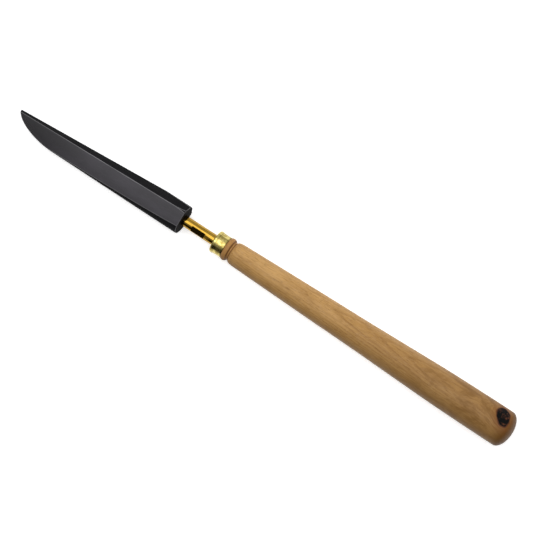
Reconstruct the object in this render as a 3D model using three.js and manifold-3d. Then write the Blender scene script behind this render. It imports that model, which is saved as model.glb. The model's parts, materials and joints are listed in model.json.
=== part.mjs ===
// Swivel knife: a graphite blade on a brass shaft that turns freely in a ball bearing and a bronze bush,
// inside a brass ferrule and a turned wooden handle. The tool lies on its side, as it does on a bench.
//
// Millimetres, +Z up. Every piece is built round the tool's own axis: x runs along the axis towards the butt
// and is 0 at the ferrule's front face, +y is the blade's spine side, and +z is square to its cheeks.
// The whole tool is then tipped to lie on the floor, because the handle is fatter than the blade.

import * as THREE from 'three';
import { mergeVertices } from 'three/addons/utils/BufferGeometryUtils.js';
import Module from 'manifold-3d';

const manifold = await Module();
manifold.setup();

// ---------------------------------------------------------------- driving dimensions

const INCH = 25.4;

// clearances between neighbouring pieces
const FIT_GAP = 0.05;             // radial and end gap of pieces that are pressed, glued or clamped together
const RUN_GAP = 0.25;             // radial gap round whatever turns, wider than the flats of the facets

// graphite blade: a rod with two cheeks, two roof bevels and a curved belly cut into it
const BLADE_LENGTH = 171.5;
const ROD_RADIUS = INCH / 2;
const CHEEK_AT_BASE = 11.06;      // half thickness over the cheeks, at the base and at the tip
const CHEEK_AT_TIP = 3.0;
const ROOF_HALF_ANGLE = THREE.MathUtils.degToRad(57.5);  // each roof bevel, from the middle plane of the blade
const RIDGE_DROP = 10.65;         // how far the ridge line falls towards the axis, over the whole blade
const RIDGE_AT_TIP = 3.69;        // height of the ridge line over the axis at the tip
const BELLY_LENGTH = 49.5;        // the stretch behind the tip that curves up
const BELLY_TIP_THICKNESS = 0.25; // what the belly leaves under the ridge line, at the very tip

// brass shaft
const SHAFT_RADIUS = INCH * 3 / 16;
const SHAFT_EXPOSED = 32.0;       // blade base to the ferrule's front face
const STUD_RADIUS = INCH * 5 / 32;
const STUD_LENGTH = 22.0;         // threaded end, screwed into the graphite
const SOCKET_END_ROOM = 1.5;
const FLAT_WIDTH = 8.0;           // across the two spanner flats
const FLAT_LENGTH = 12.8;
const FLAT_FROM_FERRULE = 9.3;
const FLAT_TURN = THREE.MathUtils.degToRad(27);  // the flats are turned this far from the cheeks
const JOURNAL_RADIUS = INCH / 8;
const JOURNAL_TAIL = 2.2;         // journal left behind the retaining clip

// brass ferrule
const FERRULE_LENGTH = 11.0;
const FERRULE_RADIUS = INCH * 3 / 8;
const LIP_RADIUS = 10.0;
const LIP_ROUND = 1.3;
const LIP_BACK = 2.2;             // end of the lip's crest
const FLARE_END = 5.5;            // where the flare has run out into the plain body
const FERRULE_FRONT_WALL = 1.75;
const FERRULE_EDGE_BREAK = 0.3;
const TENON_LENGTH = 2.1;

// ball bearing, 1/4 in bore, 1/2 in outside, 3/16 in wide
const BEARING_WIDTH = INCH * 3 / 16;
const BEARING_RADIUS = INCH / 4;
const BALL_RADIUS = INCH / 32;
const BALL_COUNT = 10;
const GROOVE_GAP = 0.06;          // between a ball and its grooves
const LAND_HEIGHT = 0.3;          // how far a groove is cut below its land
const CAGE_THICKNESS = 0.56;
const CAGE_SIDE = 0.4;            // bar of the cage on each side of the ball pockets
const POCKET_GAP = 0.12;
const SHIELD_THICKNESS = 0.2;
const SHIM_THICKNESS = 0.5;
const SHIM_WIDTH = 0.7;

// bearing sleeve, rear bush and the parts that keep the shaft in
const SLEEVE_RADIUS = INCH * 7 / 32;
const SLEEVE_WALL = 0.75;
const SLEEVE_TUBE_LENGTH = 52.0;
const BUSH_LENGTH = 10.0;
const BUSH_FLANGE = 1.0;
const TAIL_WASHER_THICKNESS = 0.8;
const WAVE_WASHER_THICKNESS = 0.35;
const WAVE_WASHER_RISE = 0.25;    // half the height of its waves
const WAVE_COUNT = 3;
const CLIP_THICKNESS = 0.7;
const CLIP_REACH = 1.7;           // how far the clip and its washers stand out from the journal
const CLIP_GROOVE_DEPTH = 0.75;

// wooden handle
const HANDLE_END = 288.0;         // the butt, from the ferrule's front face
const TENON_RADIUS = 7.9;
const NECK_RADIUS = 8.05;         // floor of the groove behind the bead
const BEAD_RADIUS = 10.175;
const BEAD_CENTRE = 13.1;
const BEAD_HALF_LENGTH = 2.85;
const QUIRK_START = 16.95;        // the small step between the groove and the shoulder
const QUIRK_END = 17.5;
const QUIRK_HEIGHT = 0.35;
const SHOULDER_END = 23.0;
const SHOULDER_RADIUS = 10.15;
const GRIP_RADIUS = 15.5;         // thickest place
const BUTT_RADIUS = 15.45;        // where the butt starts to round off
const BUTT_ROUND = 8.3;
const BORE_END_ROOM = 4.0;

// how finely the round pieces are faceted, in steps per turn; multiples of four keep them square
const HANDLE_STEPS = 44;
const METAL_STEPS = 40;
const BEARING_STEPS = 32;
const BALL_STEPS = 12;

// ---------------------------------------------------------------- places along the axis

const bladeBase = -SHAFT_EXPOSED;
const bladeTip = bladeBase - BLADE_LENGTH;
const socketEnd = bladeBase - STUD_LENGTH - SOCKET_END_ROOM;

const shimBack = FERRULE_FRONT_WALL;
const shimFront = shimBack - SHIM_THICKNESS;
const shaftShoulder = shimFront - FIT_GAP;
const bearingFront = FERRULE_FRONT_WALL + FIT_GAP;
const bearingBack = bearingFront + BEARING_WIDTH;
const bearingMiddle = (bearingFront + bearingBack) / 2;
const sleeveFront = bearingBack + FIT_GAP;
const tenonFront = FERRULE_LENGTH - TENON_LENGTH;
const sleeveFlangeBack = tenonFront - FIT_GAP;
const sleeveBack = sleeveFlangeBack + SLEEVE_TUBE_LENGTH;
const woodFront = FERRULE_LENGTH + FIT_GAP;

const bushFlangeFront = sleeveBack + FIT_GAP;
const bushBack = bushFlangeFront + BUSH_FLANGE;
const tailWasherFront = bushBack + FIT_GAP;
const waveMiddle = tailWasherFront + TAIL_WASHER_THICKNESS + FIT_GAP + WAVE_WASHER_THICKNESS / 2 + WAVE_WASHER_RISE;
const clipFront = waveMiddle + WAVE_WASHER_THICKNESS / 2 + WAVE_WASHER_RISE + FIT_GAP;
const clipBack = clipFront + CLIP_THICKNESS;
const shaftEnd = clipBack + JOURNAL_TAIL;
const boreEnd = shaftEnd + BORE_END_ROOM;

const shimRadius = JOURNAL_RADIUS + FIT_GAP + SHIM_WIDTH;
const clipRadius = JOURNAL_RADIUS + CLIP_REACH;
const clipGrooveRadius = JOURNAL_RADIUS - CLIP_GROOVE_DEPTH;
const pitchRadius = (JOURNAL_RADIUS + BEARING_RADIUS) / 2;
const grooveRadius = BALL_RADIUS + GROOVE_GAP;

// ---------------------------------------------------------------- materials

function finish(color, roughness, metalness) {
  return new THREE.MeshStandardMaterial({ color, roughness, metalness });
}

const materials = {
  graphite: finish(0x46444a, 0.5, 0.35),
  polishedBrass: finish(0xc9a13a, 0.2, 1.0),
  satinBrass: finish(0xc4b36a, 0.35, 1.0),
  bronze: finish(0xa5713c, 0.45, 1.0),
  bearingSteel: finish(0xb9bcc0, 0.22, 1.0),
  springSteel: finish(0x75787c, 0.35, 1.0),
  wood: finish(0xb8925f, 0.5, 0.0),
};

// ---------------------------------------------------------------- making solids

// A body turned round the tool's axis. The profile's points are [x, radius], run towards +x on the outside,
// and start and end on the axis or close on themselves. `turn` sets where round the axis the facets start.
function turned(profile, steps, turn = 0) {
  const points = profile.map(([x, radius]) => new THREE.Vector2(radius, x));
  const geometry = new THREE.LatheGeometry(points, steps, turn);
  geometry.rotateZ(-Math.PI / 2);
  return geometry;
}

// The same for a plain ring between two radii.
function ring(front, back, inner, outer, steps) {
  return turned([[front, inner], [front, outer], [back, outer], [back, inner], [front, inner]], steps);
}

// A manifold solid from a closed geometry: only positions, shared corners merged, no empty triangles.
function solid(geometry) {
  const bare = new THREE.BufferGeometry();
  bare.setAttribute('position', geometry.getAttribute('position').clone());
  bare.setIndex(geometry.getIndex());
  const merged = mergeVertices(bare);
  const index = merged.getIndex().array;
  const kept = [];
  for (let i = 0; i < index.length; i += 3) {
    const [a, b, c] = [index[i], index[i + 1], index[i + 2]];
    if (a !== b && b !== c && c !== a) kept.push(a, b, c);
  }
  return new manifold.Manifold(new manifold.Mesh({
    numProp: 3,
    vertProperties: new Float32Array(merged.getAttribute('position').array),
    triVerts: new Uint32Array(kept),
  }));
}

// A geometry again from a manifold solid.
function geometryOf(body) {
  const mesh = body.getMesh();
  const geometry = new THREE.BufferGeometry();
  geometry.setAttribute('position', new THREE.BufferAttribute(mesh.vertProperties, 3));
  geometry.setIndex(new THREE.BufferAttribute(mesh.triVerts, 1));
  geometry.computeVertexNormals();
  return geometry;
}

function cut(geometry, ...tools) {
  return geometryOf(tools.reduce((body, tool) => body.subtract(solid(tool)), solid(geometry)));
}

// A block whose one face passes through `point`, square to `outward`, and that lies on the outward side of it.
function blockBeyond(point, outward, size) {
  const direction = outward.clone().normalize();
  const block = new THREE.BoxGeometry(size, size, size);
  block.translate(0, 0, size / 2);
  const turn = new THREE.Quaternion().setFromUnitVectors(new THREE.Vector3(0, 0, 1), direction);
  block.applyQuaternion(turn);
  block.translate(point.x, point.y, point.z);
  return block;
}

// Points along an ellipse round [centre, base], from one angle to another; 90 degrees is straight out.
function ellipsePoints(centre, base, alongRadius, outRadius, fromDegrees, toDegrees, count) {
  return Array.from({ length: count + 1 }, (_, i) => {
    const angle = THREE.MathUtils.degToRad(fromDegrees + (toDegrees - fromDegrees) * i / count);
    return [centre + alongRadius * Math.cos(angle), base + outRadius * Math.sin(angle)];
  });
}

// ---------------------------------------------------------------- the blade

const cheekSlope = (CHEEK_AT_BASE - CHEEK_AT_TIP) / BLADE_LENGTH;
const ridgeSlope = RIDGE_DROP / BLADE_LENGTH;

function graphiteBlade() {
  const rod = turned([[bladeTip, 0], [bladeTip, ROD_RADIUS], [bladeBase, ROD_RADIUS], [bladeBase, 0]], 64);
  const size = 2 * BLADE_LENGTH;
  const cheeks = [1, -1].map((side) => blockBeyond(
    new THREE.Vector3(bladeBase, 0, side * CHEEK_AT_BASE),
    new THREE.Vector3(-cheekSlope, 0, side), size));
  const roof = [1, -1].map((side) => blockBeyond(
    new THREE.Vector3(bladeTip, RIDGE_AT_TIP, 0),
    new THREE.Vector3(
      -ridgeSlope * Math.sin(ROOF_HALF_ANGLE), Math.sin(ROOF_HALF_ANGLE), side * Math.cos(ROOF_HALF_ANGLE)), size));
  const socket = ring(socketEnd, bladeBase + 1, 0, STUD_RADIUS + RUN_GAP / 2, METAL_STEPS);
  return cut(rod, ...cheeks, ...roof, bellyCutter(), socket);
}

// What the curved belly takes away: everything under a stretch of an ellipse that starts level with the
// underside of the rod and ends just below the ridge at the tip.
function bellyCutter() {
  const start = bladeTip + BELLY_LENGTH;
  const rise = RIDGE_AT_TIP - BELLY_TIP_THICKNESS + ROD_RADIUS;
  const sweep = THREE.MathUtils.degToRad(80.4);
  const alongRadius = BELLY_LENGTH / Math.sin(sweep);
  const riseRadius = rise / (1 - Math.cos(sweep));
  const steps = 20;
  const shape = new THREE.Shape();
  shape.moveTo(start, -2 * ROD_RADIUS);
  for (let i = 0; i <= steps; i++) {
    const angle = sweep * i / steps;
    shape.lineTo(start - alongRadius * Math.sin(angle), -ROD_RADIUS + riseRadius * (1 - Math.cos(angle)));
  }
  shape.lineTo(bladeTip - BELLY_LENGTH, RIDGE_AT_TIP - BELLY_TIP_THICKNESS);
  shape.lineTo(bladeTip - BELLY_LENGTH, -2 * ROD_RADIUS);
  const cutter = new THREE.ExtrudeGeometry(shape, { depth: 4 * ROD_RADIUS, bevelEnabled: false });
  cutter.translate(0, 0, -2 * ROD_RADIUS);
  return cutter;
}

// ---------------------------------------------------------------- the shaft

function swivelShaft() {
  const studEnd = bladeBase - STUD_LENGTH;
  const bevel = 0.6;
  const bar = turned([
    [studEnd, 0], [studEnd, STUD_RADIUS - bevel], [studEnd + bevel, STUD_RADIUS],
    [bladeBase + FIT_GAP, STUD_RADIUS], [bladeBase + FIT_GAP, SHAFT_RADIUS],
    [shaftShoulder, SHAFT_RADIUS], [shaftShoulder, JOURNAL_RADIUS],
    [clipFront - FIT_GAP, JOURNAL_RADIUS], [clipFront - FIT_GAP, clipGrooveRadius],
    [clipBack + FIT_GAP, clipGrooveRadius], [clipBack + FIT_GAP, JOURNAL_RADIUS],
    [shaftEnd - bevel, JOURNAL_RADIUS], [shaftEnd, JOURNAL_RADIUS - bevel], [shaftEnd, 0],
  ], METAL_STEPS);
  const flats = [0, Math.PI].map((side) => {
    const block = new THREE.BoxGeometry(FLAT_LENGTH, 2 * SHAFT_RADIUS, SHAFT_RADIUS);
    block.translate(-FLAT_FROM_FERRULE - FLAT_LENGTH / 2, 0, FLAT_WIDTH / 2 + SHAFT_RADIUS / 2);
    block.rotateX(FLAT_TURN + side);
    return block;
  });
  return cut(bar, ...flats);
}

// ---------------------------------------------------------------- the ferrule and what it holds

function ferrule() {
  const hole = SHAFT_RADIUS + RUN_GAP;
  const pocket = BEARING_RADIUS + FIT_GAP;
  const socket = TENON_RADIUS + FIT_GAP;
  const roundCorner = ellipsePoints(LIP_ROUND, LIP_RADIUS - LIP_ROUND, LIP_ROUND, LIP_ROUND, 180, 90, 4);
  const flare = new THREE.QuadraticBezierCurve(
    new THREE.Vector2(LIP_BACK, LIP_RADIUS),
    new THREE.Vector2((LIP_BACK + FLARE_END) / 2, FERRULE_RADIUS),
    new THREE.Vector2(FLARE_END, FERRULE_RADIUS)).getPoints(4).map((point) => [point.x, point.y]);
  return turned([
    [0, hole], ...roundCorner, ...flare,
    [FERRULE_LENGTH - FERRULE_EDGE_BREAK, FERRULE_RADIUS],
    [FERRULE_LENGTH, FERRULE_RADIUS - FERRULE_EDGE_BREAK],
    [FERRULE_LENGTH, socket], [tenonFront, socket], [tenonFront, pocket],
    [FERRULE_FRONT_WALL, pocket], [FERRULE_FRONT_WALL, hole], [0, hole],
  ], METAL_STEPS);
}

// A race of the bearing: `seat` is its plain cylinder, `land` the edge of its ball groove, and `side` is 1 on
// the race outside the balls and -1 on the one inside them.
function race(seat, side) {
  const grooveFloor = pitchRadius + side * grooveRadius;
  const land = grooveFloor - side * LAND_HEIGHT;
  const halfAngle = THREE.MathUtils.radToDeg(Math.acos((grooveRadius - LAND_HEIGHT) / grooveRadius));
  const groove = ellipsePoints(bearingMiddle, pitchRadius, grooveRadius, grooveRadius,
    side * 90 + halfAngle, side * 90 - halfAngle, 4);
  const seatSide = [[bearingBack, seat], [bearingFront, seat]];
  const grooveSide = [[bearingBack, land], ...groove.sort((p, q) => q[0] - p[0]), [bearingFront, land]];
  const outside = (side > 0 ? seatSide : grooveSide).slice().reverse();
  const inside = side > 0 ? grooveSide : seatSide;
  return turned([...outside, ...inside, outside[0]], BEARING_STEPS);
}

function bearingCage() {
  const halfWidth = BALL_RADIUS + POCKET_GAP + CAGE_SIDE;
  const body = ring(bearingMiddle - halfWidth, bearingMiddle + halfWidth,
    pitchRadius - CAGE_THICKNESS / 2, pitchRadius + CAGE_THICKNESS / 2, 2 * BALL_COUNT);
  const pockets = ballAngles().map((angle) => {
    const pocket = new THREE.CylinderGeometry(
      BALL_RADIUS + POCKET_GAP, BALL_RADIUS + POCKET_GAP, 2 * BALL_RADIUS, BALL_STEPS);
    pocket.translate(0, pitchRadius, 0);
    pocket.rotateX(angle);
    pocket.translate(bearingMiddle, 0, 0);
    return pocket;
  });
  return cut(body, ...pockets);
}

function ballAngles() {
  return Array.from({ length: BALL_COUNT }, (_, i) => 2 * Math.PI * i / BALL_COUNT);
}

function bearingShield(front) {
  const outer = pitchRadius + grooveRadius - LAND_HEIGHT - FIT_GAP;
  const inner = pitchRadius - grooveRadius + LAND_HEIGHT + RUN_GAP / 2;
  return ring(front, front + SHIELD_THICKNESS, inner, outer, BEARING_STEPS);
}

function bearingSleeve() {
  const flange = BEARING_RADIUS;
  const bore = SLEEVE_RADIUS - SLEEVE_WALL;
  return turned([
    [sleeveFront, bore], [sleeveFront, flange], [sleeveFlangeBack, flange], [sleeveFlangeBack, SLEEVE_RADIUS],
    [sleeveBack, SLEEVE_RADIUS], [sleeveBack, bore], [sleeveFront, bore],
  ], METAL_STEPS);
}

function rearBush() {
  const bore = JOURNAL_RADIUS + RUN_GAP / 2;
  const body = SLEEVE_RADIUS - SLEEVE_WALL - FIT_GAP;
  const front = bushFlangeFront - BUSH_LENGTH;
  return turned([
    [front, bore], [front, body], [bushFlangeFront, body], [bushFlangeFront, SLEEVE_RADIUS],
    [bushBack, SLEEVE_RADIUS], [bushBack, bore], [front, bore],
  ], METAL_STEPS);
}

function waveWasher() {
  const half = WAVE_WASHER_THICKNESS / 2;
  const steps = 8 * WAVE_COUNT;
  const washer = ring(waveMiddle - half, waveMiddle + half, JOURNAL_RADIUS + FIT_GAP, clipRadius, steps);
  const position = washer.getAttribute('position');
  for (let i = 0; i < position.count; i++) {
    const angle = Math.atan2(position.getZ(i), position.getY(i));
    position.setX(i, position.getX(i) + WAVE_WASHER_RISE * Math.cos(WAVE_COUNT * angle));
  }
  return washer;
}

// An E-shaped clip: open on one side, with three lugs that sit in the shaft's groove.
function retainingClip() {
  const lug = clipGrooveRadius + FIT_GAP;
  const hollow = JOURNAL_RADIUS + 2 * FIT_GAP;
  const mouth = 32;
  const lugWidth = 28;
  const outline = [];
  const arc = (radius, fromDegrees, toDegrees) => {
    const count = Math.max(2, Math.round(Math.abs(toDegrees - fromDegrees) / 15));
    for (let i = 0; i <= count; i++) {
      const angle = THREE.MathUtils.degToRad(fromDegrees + (toDegrees - fromDegrees) * i / count);
      outline.push(new THREE.Vector2(radius * Math.cos(angle), radius * Math.sin(angle)));
    }
  };
  arc(clipRadius, mouth, 360 - mouth);
  arc(lug, 360 - mouth, 360 - mouth - lugWidth);
  arc(hollow, 360 - mouth - lugWidth, 180 + lugWidth / 2);
  arc(lug, 180 + lugWidth / 2, 180 - lugWidth / 2);
  arc(hollow, 180 - lugWidth / 2, mouth + lugWidth);
  arc(lug, mouth + lugWidth, mouth);
  const clip = new THREE.ExtrudeGeometry(new THREE.Shape(outline), { depth: CLIP_THICKNESS, bevelEnabled: false });
  clip.rotateY(Math.PI / 2);
  clip.translate(clipFront, 0, 0);
  return clip;
}

// ---------------------------------------------------------------- the handle

// The outside of the handle from the shoulder to the butt: [x, radius].
function gripStations() {
  const length = HANDLE_END - BUTT_ROUND - SHOULDER_END;
  const swell = GRIP_RADIUS - SHOULDER_RADIUS;
  const stations = [[0, 0], [0.23, 0.28], [0.44, 0.48], [0.64, 0.755], [0.79, 0.945], [0.94, 1.0]];
  const curve = new THREE.SplineCurve([
    ...stations.map(([along, swollen]) => new THREE.Vector2(
      SHOULDER_END + along * length, SHOULDER_RADIUS + swollen * swell)),
    new THREE.Vector2(SHOULDER_END + length, BUTT_RADIUS),
  ]);
  return curve.getPoints(14).map((point) => [point.x, point.y]);
}

function woodHandle() {
  const bore = SLEEVE_RADIUS + FIT_GAP;
  const beadAngle = THREE.MathUtils.radToDeg(Math.acos((woodFront - BEAD_CENTRE) / BEAD_HALF_LENGTH));
  const bead = ellipsePoints(BEAD_CENTRE, NECK_RADIUS, BEAD_HALF_LENGTH, BEAD_RADIUS - NECK_RADIUS, beadAngle, 0, 8);
  const quirk = NECK_RADIUS + QUIRK_HEIGHT;
  const shoulder = new THREE.QuadraticBezierCurve(
    new THREE.Vector2(QUIRK_END, quirk),
    new THREE.Vector2(QUIRK_END + 1.1, SHOULDER_RADIUS - 0.1),
    new THREE.Vector2(SHOULDER_END, SHOULDER_RADIUS)).getPoints(5).map((point) => [point.x, point.y]);
  const butt = ellipsePoints(HANDLE_END - BUTT_ROUND, 0, BUTT_ROUND, BUTT_RADIUS, 90, 0, 7);
  butt[butt.length - 1][1] = 0;
  return turned([
    [boreEnd, 0], [boreEnd, bore], [tenonFront + FIT_GAP, bore],
    [tenonFront + FIT_GAP, TENON_RADIUS], [woodFront, TENON_RADIUS],
    ...bead, [QUIRK_START, NECK_RADIUS], [QUIRK_START, quirk], ...shoulder,
    ...gripStations().slice(1), ...butt.slice(1),
  ], HANDLE_STEPS, Math.PI / HANDLE_STEPS);
}

// ---------------------------------------------------------------- the tool, put together

const tool = new THREE.Group();

function add(name, geometry, material) {
  const mesh = new THREE.Mesh(geometry, material);
  mesh.name = name;
  tool.add(mesh);
}

add('wood_handle', woodHandle(), materials.wood);
add('ferrule', ferrule(), materials.satinBrass);
add('bearing_sleeve', bearingSleeve(), materials.satinBrass);
add('rear_bush', rearBush(), materials.bronze);
add('bearing_outer_race', race(BEARING_RADIUS, 1), materials.bearingSteel);
add('bearing_front_shield', bearingShield(bearingFront), materials.bearingSteel);
add('bearing_rear_shield', bearingShield(bearingBack - SHIELD_THICKNESS), materials.bearingSteel);

add('bearing_cage', bearingCage(), materials.springSteel);
ballAngles().forEach((angle, i) => {
  const ball = new THREE.SphereGeometry(BALL_RADIUS, BALL_STEPS, BALL_STEPS / 2);
  ball.translate(0, pitchRadius, 0);
  ball.rotateX(angle);
  ball.translate(bearingMiddle, 0, 0);
  add(`bearing_ball_${String(i + 1).padStart(2, '0')}`, ball, materials.bearingSteel);
});

add('graphite_blade', graphiteBlade(), materials.graphite);
add('swivel_shaft', swivelShaft(), materials.polishedBrass);
add('bearing_inner_race', race(JOURNAL_RADIUS + FIT_GAP, -1), materials.bearingSteel);
add('bearing_shim', ring(shimFront, shimBack, JOURNAL_RADIUS + FIT_GAP, shimRadius, METAL_STEPS),
  materials.springSteel);
add('tail_washer', ring(tailWasherFront, tailWasherFront + TAIL_WASHER_THICKNESS,
  JOURNAL_RADIUS + FIT_GAP, clipRadius, METAL_STEPS), materials.bronze);
add('wave_washer', waveWasher(), materials.springSteel);
add('retaining_clip', retainingClip(), materials.springSteel);

// On the floor the tool leans on its handle's thickest stretch and on the blade's base, so its axis rises a
// little towards the butt. The handle's facets lie flat on the floor, at their middle radius.
const facetShare = Math.cos(Math.PI / HANDLE_STEPS);
const lean = Math.max(...gripStations().map(
  ([x, radius]) => Math.atan((radius * facetShare - CHEEK_AT_BASE) / (x - bladeBase))));
tool.rotation.y = -lean;

// The origin is on the floor, under the middle of the tool.
const swivelKnife = new THREE.Group();
swivelKnife.add(tool);
const box = new THREE.Box3().setFromObject(swivelKnife, true);
tool.position.set(-(box.min.x + box.max.x) / 2, -(box.min.y + box.max.y) / 2, -box.min.z);

export default swivelKnife;
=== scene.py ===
"""Swivel knife: the finished look of a graphite glass-shaping knife whose head spins in a turned handle.

The blade, shaft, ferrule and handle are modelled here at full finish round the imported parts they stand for,
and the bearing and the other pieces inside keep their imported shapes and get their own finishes.

Sizes are in millimetres along the tool's own axis: x is 0 at the ferrule's front face and runs to the butt,
y points to the blade's spine side and z is square to its cheeks. Each finished piece is then laid in place.
"""

import json
import math

import bpy
from mathutils import Matrix, Vector


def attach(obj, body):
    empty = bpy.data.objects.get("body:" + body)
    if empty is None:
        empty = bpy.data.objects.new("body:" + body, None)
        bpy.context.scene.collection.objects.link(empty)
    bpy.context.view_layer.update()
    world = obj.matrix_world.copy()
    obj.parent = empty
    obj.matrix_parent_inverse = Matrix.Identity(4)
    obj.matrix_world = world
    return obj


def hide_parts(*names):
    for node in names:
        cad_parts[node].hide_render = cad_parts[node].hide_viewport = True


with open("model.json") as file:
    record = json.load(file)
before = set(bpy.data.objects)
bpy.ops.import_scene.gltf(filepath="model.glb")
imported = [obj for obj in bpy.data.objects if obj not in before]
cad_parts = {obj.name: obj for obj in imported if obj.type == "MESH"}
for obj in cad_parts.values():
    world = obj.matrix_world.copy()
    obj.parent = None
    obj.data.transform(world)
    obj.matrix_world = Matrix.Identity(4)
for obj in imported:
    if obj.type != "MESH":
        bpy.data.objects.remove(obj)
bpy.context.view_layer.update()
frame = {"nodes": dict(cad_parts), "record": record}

MM = 0.001

# ------------------------------------------------------------------ the tool's axis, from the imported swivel

swivel = next(joint for joint in frame["record"]["behaviour"]["joints"] if joint["name"] == "blade_swivel")
along = Vector(swivel["axis"]).normalized()
spine = Vector((0.0, 1.0, 0.0))
square = along.cross(spine).normalized()
ferrule_face = Vector(swivel["pos_m"])
LAY = Matrix((
    (along.x, spine.x, square.x, ferrule_face.x),
    (along.y, spine.y, square.y, ferrule_face.y),
    (along.z, spine.z, square.z, ferrule_face.z),
    (0.0, 0.0, 0.0, 1.0),
))


def outline_of(node):
    """The (x, radius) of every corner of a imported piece, in millimetres on the tool's axis, by x."""
    back = LAY.inverted()
    spots = set()
    for vertex in frame["nodes"][node].data.vertices:
        spot = back @ vertex.co
        spots.add((round(spot.x / MM, 2), round(math.hypot(spot.y, spot.z) / MM, 2)))
    return sorted(spots)


def ends_of(node):
    corners = outline_of(node)
    return corners[0][0], corners[-1][0]


# ------------------------------------------------------------------ sizes of the visible pieces

ROD_RADIUS = 12.7
ROD_SIDES = 192
BLADE_TIP, BLADE_BASE = ends_of("graphite_blade")
BLADE_LENGTH = BLADE_BASE - BLADE_TIP
CHEEK_AT_BASE = 11.06             # half thickness over the cheeks
CHEEK_AT_TIP = 3.0
ROOF_HALF_ANGLE = math.radians(57.5)
RIDGE_AT_TIP = 3.69
RIDGE_DROP = 10.65
BELLY_LENGTH = 49.5
BELLY_TIP_THICKNESS = 0.25
BELLY_SWEEP = math.radians(80.4)
BELLY_CUTS = 44
STUD_RADIUS = 3.97
STUD_LENGTH = 22.0
STUD_CHAMFER = 0.6
STUD_NECK = 0.6                   # plain length in front of the blade's base
THREAD_PITCH = 25.4 / 24
THREAD_DEPTH = 0.55
THREAD_RUNOUT = 2.0
SOCKET_PLAY = 0.12                # between the stud and the wall of its hole
SOCKET_POINT = 1.5                # the drill's cone at the bottom of that hole
SOCKET_SIDES = 64
OVERRUN = 1.0                     # how far a cutter stands out of the piece it cuts

SHAFT_RADIUS = 4.7625
SHAFT_SIDES = 160
SHAFT_TAIL = ends_of("swivel_shaft")[1]
JOURNAL_RADIUS = 3.175
FLAT_WIDTH = 8.0
FLAT_LENGTH = 12.8
FLAT_FROM_FERRULE = 9.3
FLAT_TURN = math.radians(27.0)
SHAFT_GAP = 0.05                  # between the blade's base and the shaft's front face
SHAFT_CHAMFER = 0.12
SHOULDER_SETBACK = 0.55           # from the back of the ferrule's wall to the shaft's shoulder
SHOULDER_CHAMFER = 0.3
CLIP_GROOVE = (3.0, 2.15)         # its two walls, in front of the tail
CLIP_GROOVE_DEPTH = 0.75
TAIL_CHAMFER = 0.6

FERRULE_LENGTH = ends_of("ferrule")[1]
FERRULE_RADIUS = 9.525
LIP_RADIUS = 10.0
LIP_ROUND = 1.3
LIP_BACK = 2.2
FLARE_END = 5.5
FERRULE_WALL = 1.75
POCKET_RADIUS = 6.4
TENON_LENGTH = 2.1
TENON_RADIUS = 7.9
TENON_PLAY = 0.05
HOLE_PLAY = 0.25                  # between the shaft and the hole in the ferrule's face
HOLE_CHAMFER = 0.25
REAR_BAND = 1.5                   # the plain end of the ferrule, over the tenon
REAR_ROUND = 0.3
FERRULE_SIDES = 160

HANDLE_END = ends_of("wood_handle")[1]
NECK_RADIUS = 8.05
BEAD_RADIUS = 10.175
BEAD_CENTRE = 13.1
BEAD_HALF_LENGTH = 2.85
QUIRK_START = 16.95
QUIRK_END = 17.5
QUIRK_RADIUS = 8.4
QUIRK_FILLET = 0.1
QUIRK_LIP = (0.08, 0.04)          # along and out, from the groove's wall to its rounded corner
QUIRK_CORNER = 0.2
SHOULDER_END = 23.0
SHOULDER_RADIUS = 10.15
SHOULDER_LEAN = (1.1, 0.1)        # how quickly the shoulder swells out of the groove
BUTT_RADIUS = 15.45
BUTT_ROUND = 8.3
BORE_RADIUS = 5.6
BORE_END = SHAFT_TAIL + 4.0       # with room behind the shaft's tail
BORE_POINT = 1.5
BORE_CHAMFER = 0.2
WOOD_GAP = 0.05                   # between the wood and the ferrule
HANDLE_SIDES = 144
MARGIN = 1.0                      # packed corners nearer than this to the shoulder or the butt are left out
TOLERANCE = 0.1

# the knot in the handle: where its middle meets the surface, its lean and its half sizes
KNOT_ALONG = 274.8
KNOT_ROUND = math.radians(37.5)   # from square to the cheeks, towards the spine side
KNOT_LEAN = math.radians(31.0)
KNOT_LONG = 7.8
KNOT_SHORT = 5.3
KNOT_DEPTH = 15.4                 # from the axis to the surface there


# ------------------------------------------------------------------ bench work: making and laying pieces

WELD = 0.002 * MM                 # corners nearer than this become one
SAW_TOLERANCE = 0.0001 * MM


def clear_hands():
    if bpy.context.object and bpy.context.object.mode != "OBJECT":
        bpy.ops.object.mode_set(mode="OBJECT")
    bpy.ops.object.select_all(action="DESELECT")


def take(piece):
    clear_hands()
    piece.select_set(True)
    bpy.context.view_layer.objects.active = piece


def arc(centre, base, half_along, half_out, start, end, steps):
    """Points on an ellipse round (centre, base) between two angles in degrees. 90 is straight out."""
    spots = []
    for step in range(steps + 1):
        angle = math.radians(start + (end - start) * step / steps)
        spots.append((centre + half_along * math.cos(angle), base + half_out * math.sin(angle)))
    return spots


def swept(first, middle, last, steps):
    """A smooth hollow or swell from first to last that leans on middle."""
    spots = []
    for step in range(steps + 1):
        t = step / steps
        spots.append(tuple(
            (1 - t) ** 2 * a + 2 * t * (1 - t) * b + t * t * c for a, b, c in zip(first, middle, last)))
    return spots


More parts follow.
